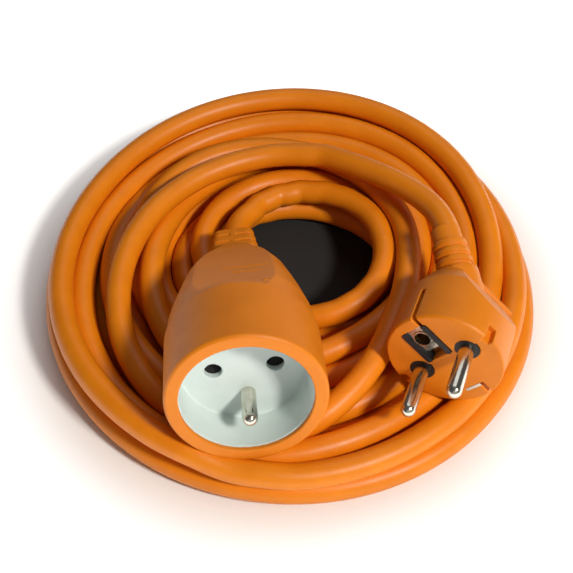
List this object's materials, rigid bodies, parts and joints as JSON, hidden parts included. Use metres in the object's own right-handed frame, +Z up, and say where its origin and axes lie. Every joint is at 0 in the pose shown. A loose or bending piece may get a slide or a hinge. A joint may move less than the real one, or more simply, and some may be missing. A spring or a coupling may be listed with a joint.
{
  "type": "extension cord",
  "caption": "Coiled orange three-core extension cord with a round trailing socket that has an earth pin and a shutter, and an angled plug with round pins.",
  "frame": {"origin": "on the surface that the cord lies on, at the middle of the coil's box", "axes": "+Z up; the socket's mouth looks towards -Y and a little up; +X is to the right seen from the mouth's side"},
  "size_m": [0.174, 0.174, 0.0643],
  "materials": {
    "cable_pvc": "semi-gloss extruded PVC sheath",
    "moulded_orange": "satin moulded PVC",
    "white_plastic": "smooth moulded thermoplastic",
    "black_plastic": "smooth moulded thermoplastic",
    "nickel": "nickel-plated brass",
    "brass": "bare brass",
    "copper": "crimped copper",
    "spring_steel": "drawn wire",
    "core_brown": "PVC insulation",
    "core_blue": "PVC insulation",
    "core_earth": "PVC insulation with two colours"
  },
  "bodies": {
    "cord": {"cable_coil": "cable_pvc", "cable_to_socket": "cable_pvc", "cable_to_plug": "cable_pvc", "socket_housing": "moulded_orange", "socket_strain_relief": "moulded_orange", "socket_insert": "white_plastic", "shutter_spring": "spring_steel", "socket_contact_carrier": "white_plastic", "socket_line_contact": "brass", "socket_neutral_contact": "brass", "socket_earth_pin": "nickel", "socket_line_core": "core_brown", "socket_neutral_core": "core_blue", "socket_earth_core": "core_earth", "socket_crimps": "copper", "plug_body": "moulded_orange", "plug_strain_relief": "moulded_orange", "plug_pin_bridge": "black_plastic", "plug_line_pin": "nickel", "plug_neutral_pin": "nickel", "plug_earth_clip": "nickel", "plug_earth_sleeve": "brass", "plug_line_core": "core_brown", "plug_neutral_core": "core_blue", "plug_earth_core": "core_earth", "plug_crimps": "copper"},
    "shutter": {"socket_shutter": "black_plastic"}
  },
  "joints": [
    {"name": "shutter_slide", "type": "slide", "parent": "cord", "child": "shutter", "axis": [-0.0941, 0.2504, 0.9636], "range_m": [0, 0.006], "stiffness_N_per_m": 120, "springref_m": -0.004, "deforming": ["shutter_spring"]}
  ]
}
